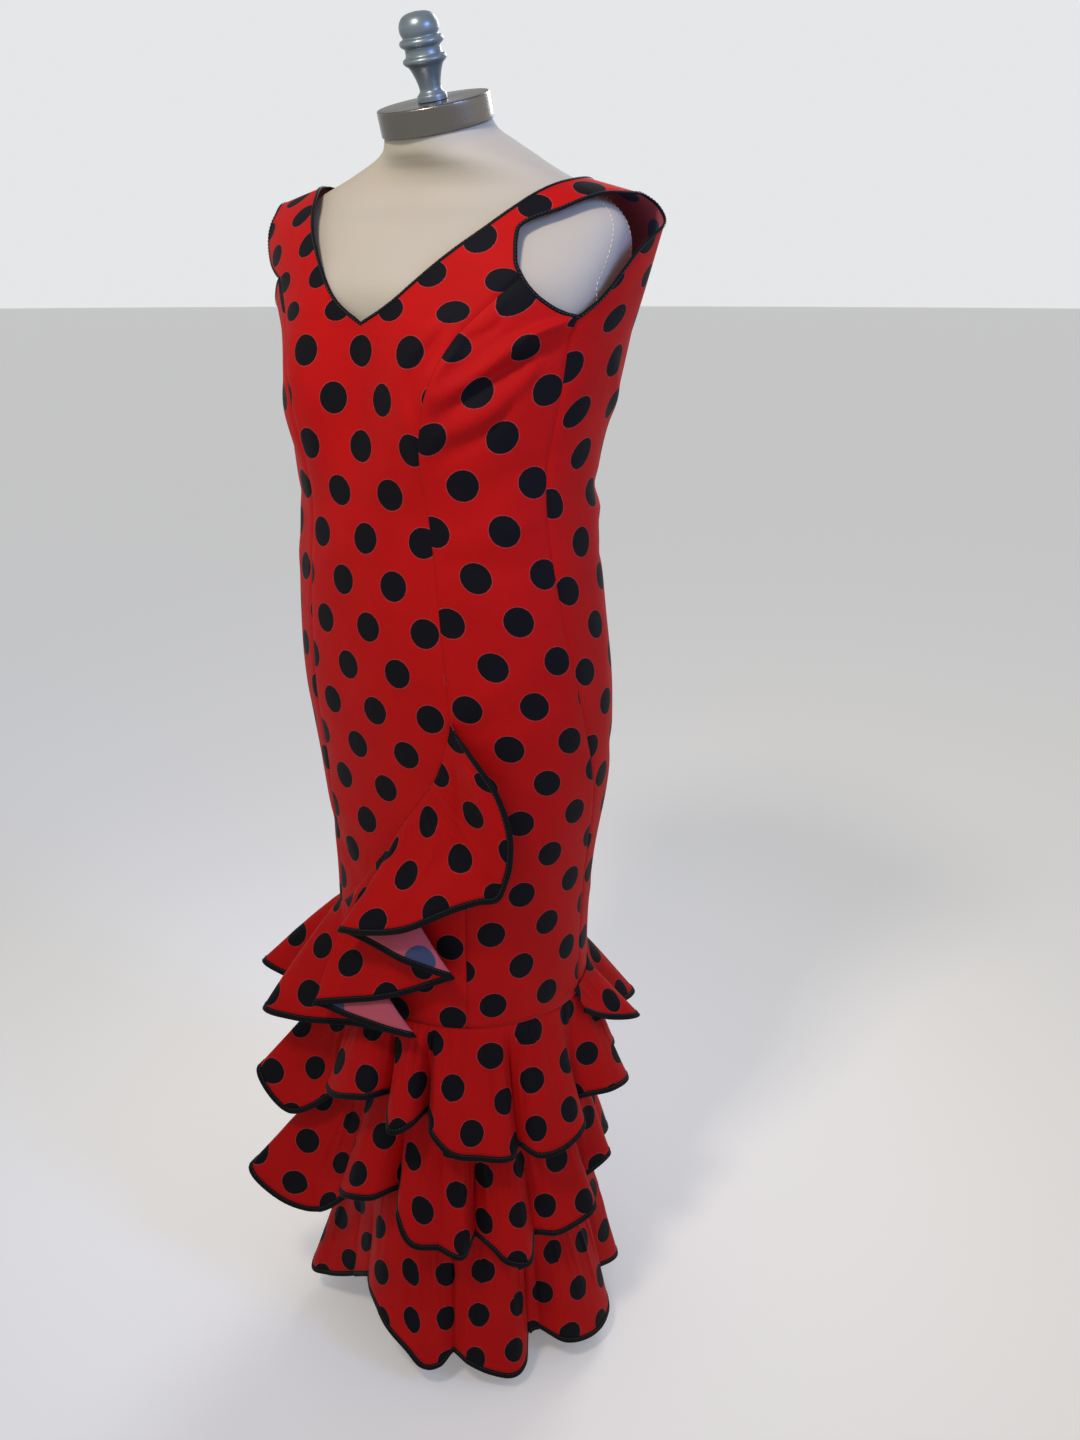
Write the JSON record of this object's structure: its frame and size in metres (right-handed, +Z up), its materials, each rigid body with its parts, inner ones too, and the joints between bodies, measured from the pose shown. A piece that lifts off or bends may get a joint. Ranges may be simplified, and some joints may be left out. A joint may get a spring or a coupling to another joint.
{
  "type": "flamenco dress on dress form",
  "caption": "Sleeveless fitted long dress with a V neck, a cascading first flounce and tiered ruffled flounces, on a limbless dress form and stand.",
  "frame": {"origin": "on the floor, in the middle of the base plate's underside", "axes": "+Z up, the dress faces -Y, the wearer's left is +X"},
  "size_m": [0.4704, 0.4398, 1.5012],
  "materials": {
    "red_cloth": "woven, bright red with round black dots, dull pink on its wrong side",
    "black_bias": "woven bias tape",
    "form_linen": "off-white linen cover",
    "brushed_steel": "brushed",
    "satin_grey": "satin",
    "black_steel": "satin"
  },
  "bodies": {
    "root": {"front_panel": "red_cloth", "left_side_front": "red_cloth", "right_side_front": "red_cloth", "left_back": "red_cloth", "right_back": "red_cloth", "under_skirt": "red_cloth", "flounce_1": "red_cloth", "flounce_2": "red_cloth", "flounce_3": "red_cloth", "flounce_4": "red_cloth", "neckline_binding": "black_bias", "left_armhole_binding": "black_bias", "right_armhole_binding": "black_bias", "flounce_1_binding": "black_bias", "flounce_2_binding": "black_bias", "flounce_3_binding": "black_bias", "flounce_4_binding": "black_bias", "centre_back_zip": "black_bias", "form_body": "form_linen", "neck_cap": "brushed_steel", "finial": "satin_grey", "pole": "brushed_steel", "base_plate": "black_steel"}
  },
  "joints": []
}
